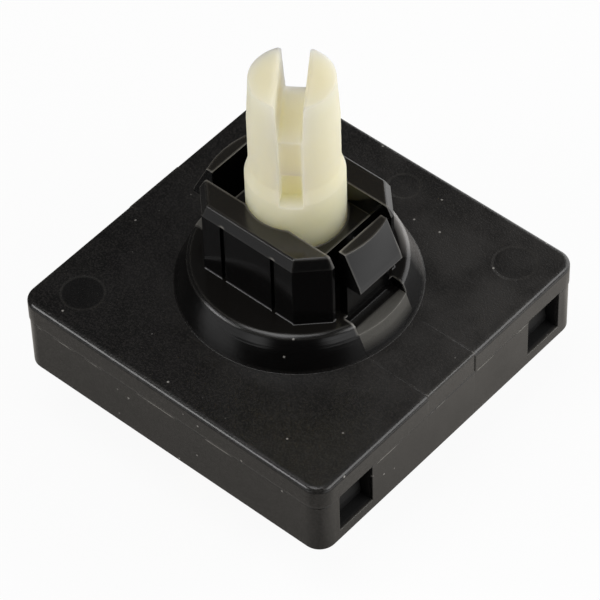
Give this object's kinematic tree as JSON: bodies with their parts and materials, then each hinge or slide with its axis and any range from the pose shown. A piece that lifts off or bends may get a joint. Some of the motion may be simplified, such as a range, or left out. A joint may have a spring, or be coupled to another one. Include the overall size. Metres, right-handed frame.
{
  "type": "rotary switch",
  "caption": "Snap-in rotary light switch: square black case, collar and latching boss, slotted ivory knob shaft that turns through detents, blade terminals underneath.",
  "frame": {"origin": "on the shaft's axis, level with the tips of the blade terminals", "axes": "+Z along the shaft towards the knob end; X through the two latch fingers; Y across the boss's flats; the windowed walls face +X and -X"},
  "size_m": [0.0404, 0.0404, 0.0464],
  "materials": {
    "black_nylon": "moulded, fine grain",
    "base_resin": "moulded",
    "natural_nylon": "moulded, translucent ivory",
    "terminal_brass": "stamped",
    "rivet_brass": "headed",
    "contact_copper": "stamped copper",
    "contact_silver": "silver alloy",
    "spring_steel": "drawn and formed"
  },
  "bodies": {
    "case": {"housing": "black_nylon", "terminal_base": "base_resin", "feed_terminal": "terminal_brass", "output_terminal_1": "terminal_brass", "output_terminal_2": "terminal_brass", "output_terminal_3": "terminal_brass", "feed_rivet": "rivet_brass", "output_rivet_1": "rivet_brass", "output_rivet_2": "rivet_brass", "output_rivet_3": "rivet_brass", "detent_spring_front": "spring_steel", "detent_spring_rear": "spring_steel"},
    "shaft": {"shaft": "natural_nylon", "contact_plate": "contact_copper", "contact_spring": "spring_steel", "output_contact_button": "contact_silver", "feed_contact_button_1": "contact_silver", "feed_contact_button_2": "contact_silver"}
  },
  "joints": [
    {"name": "shaft_turn", "type": "hinge", "parent": "case", "child": "shaft", "pos_m": [0, 0, 0.03], "axis": [0, 0, 1], "range_deg": [0, 108], "deforming": ["detent_spring_front", "detent_spring_rear"]}
  ]
}
